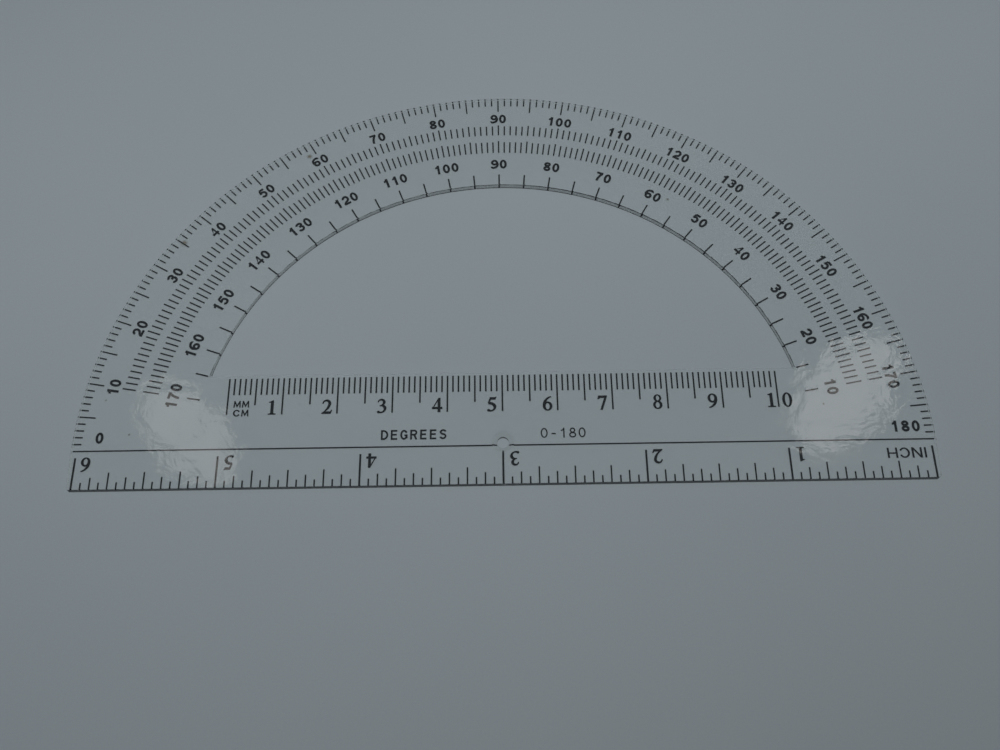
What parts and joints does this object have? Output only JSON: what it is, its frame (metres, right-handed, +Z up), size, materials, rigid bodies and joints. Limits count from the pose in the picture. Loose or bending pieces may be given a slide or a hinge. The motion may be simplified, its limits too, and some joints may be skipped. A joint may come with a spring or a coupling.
{
  "type": "half-round protractor",
  "caption": "Clear moulded half-round protractor with a cut-out window, centre hole, degree rings and centimetre and inch rulers printed underneath.",
  "frame": {"origin": "axis of the centre hole, on the underside of the plate that lies on the paper", "axes": "+X along the straight ruler edge towards the 180 degree end, +Y towards the 90 degree mark, +Z up out of the readable face"},
  "size_m": [0.154, 0.0845, 0.0012],
  "materials": {
    "clear_plate": "clear gloss polystyrene",
    "black_ink": "matt black screen print"
  },
  "bodies": {
    "root": {"clear_plate": "clear_plate", "ink_baseline": "black_ink", "ink_outer_degree_ticks": "black_ink", "ink_outer_degree_numerals": "black_ink", "ink_end_degree_numerals": "black_ink", "ink_mid_degree_ticks": "black_ink", "ink_low_degree_ticks": "black_ink", "ink_inner_degree_numerals": "black_ink", "ink_window_degree_ticks": "black_ink", "ink_centimetre_ticks": "black_ink", "ink_centimetre_numerals": "black_ink", "ink_metric_label": "black_ink", "ink_inch_ticks": "black_ink", "ink_inch_numerals": "black_ink", "ink_inch_label": "black_ink", "ink_degrees_label": "black_ink", "ink_range_label": "black_ink"}
  },
  "joints": []
}
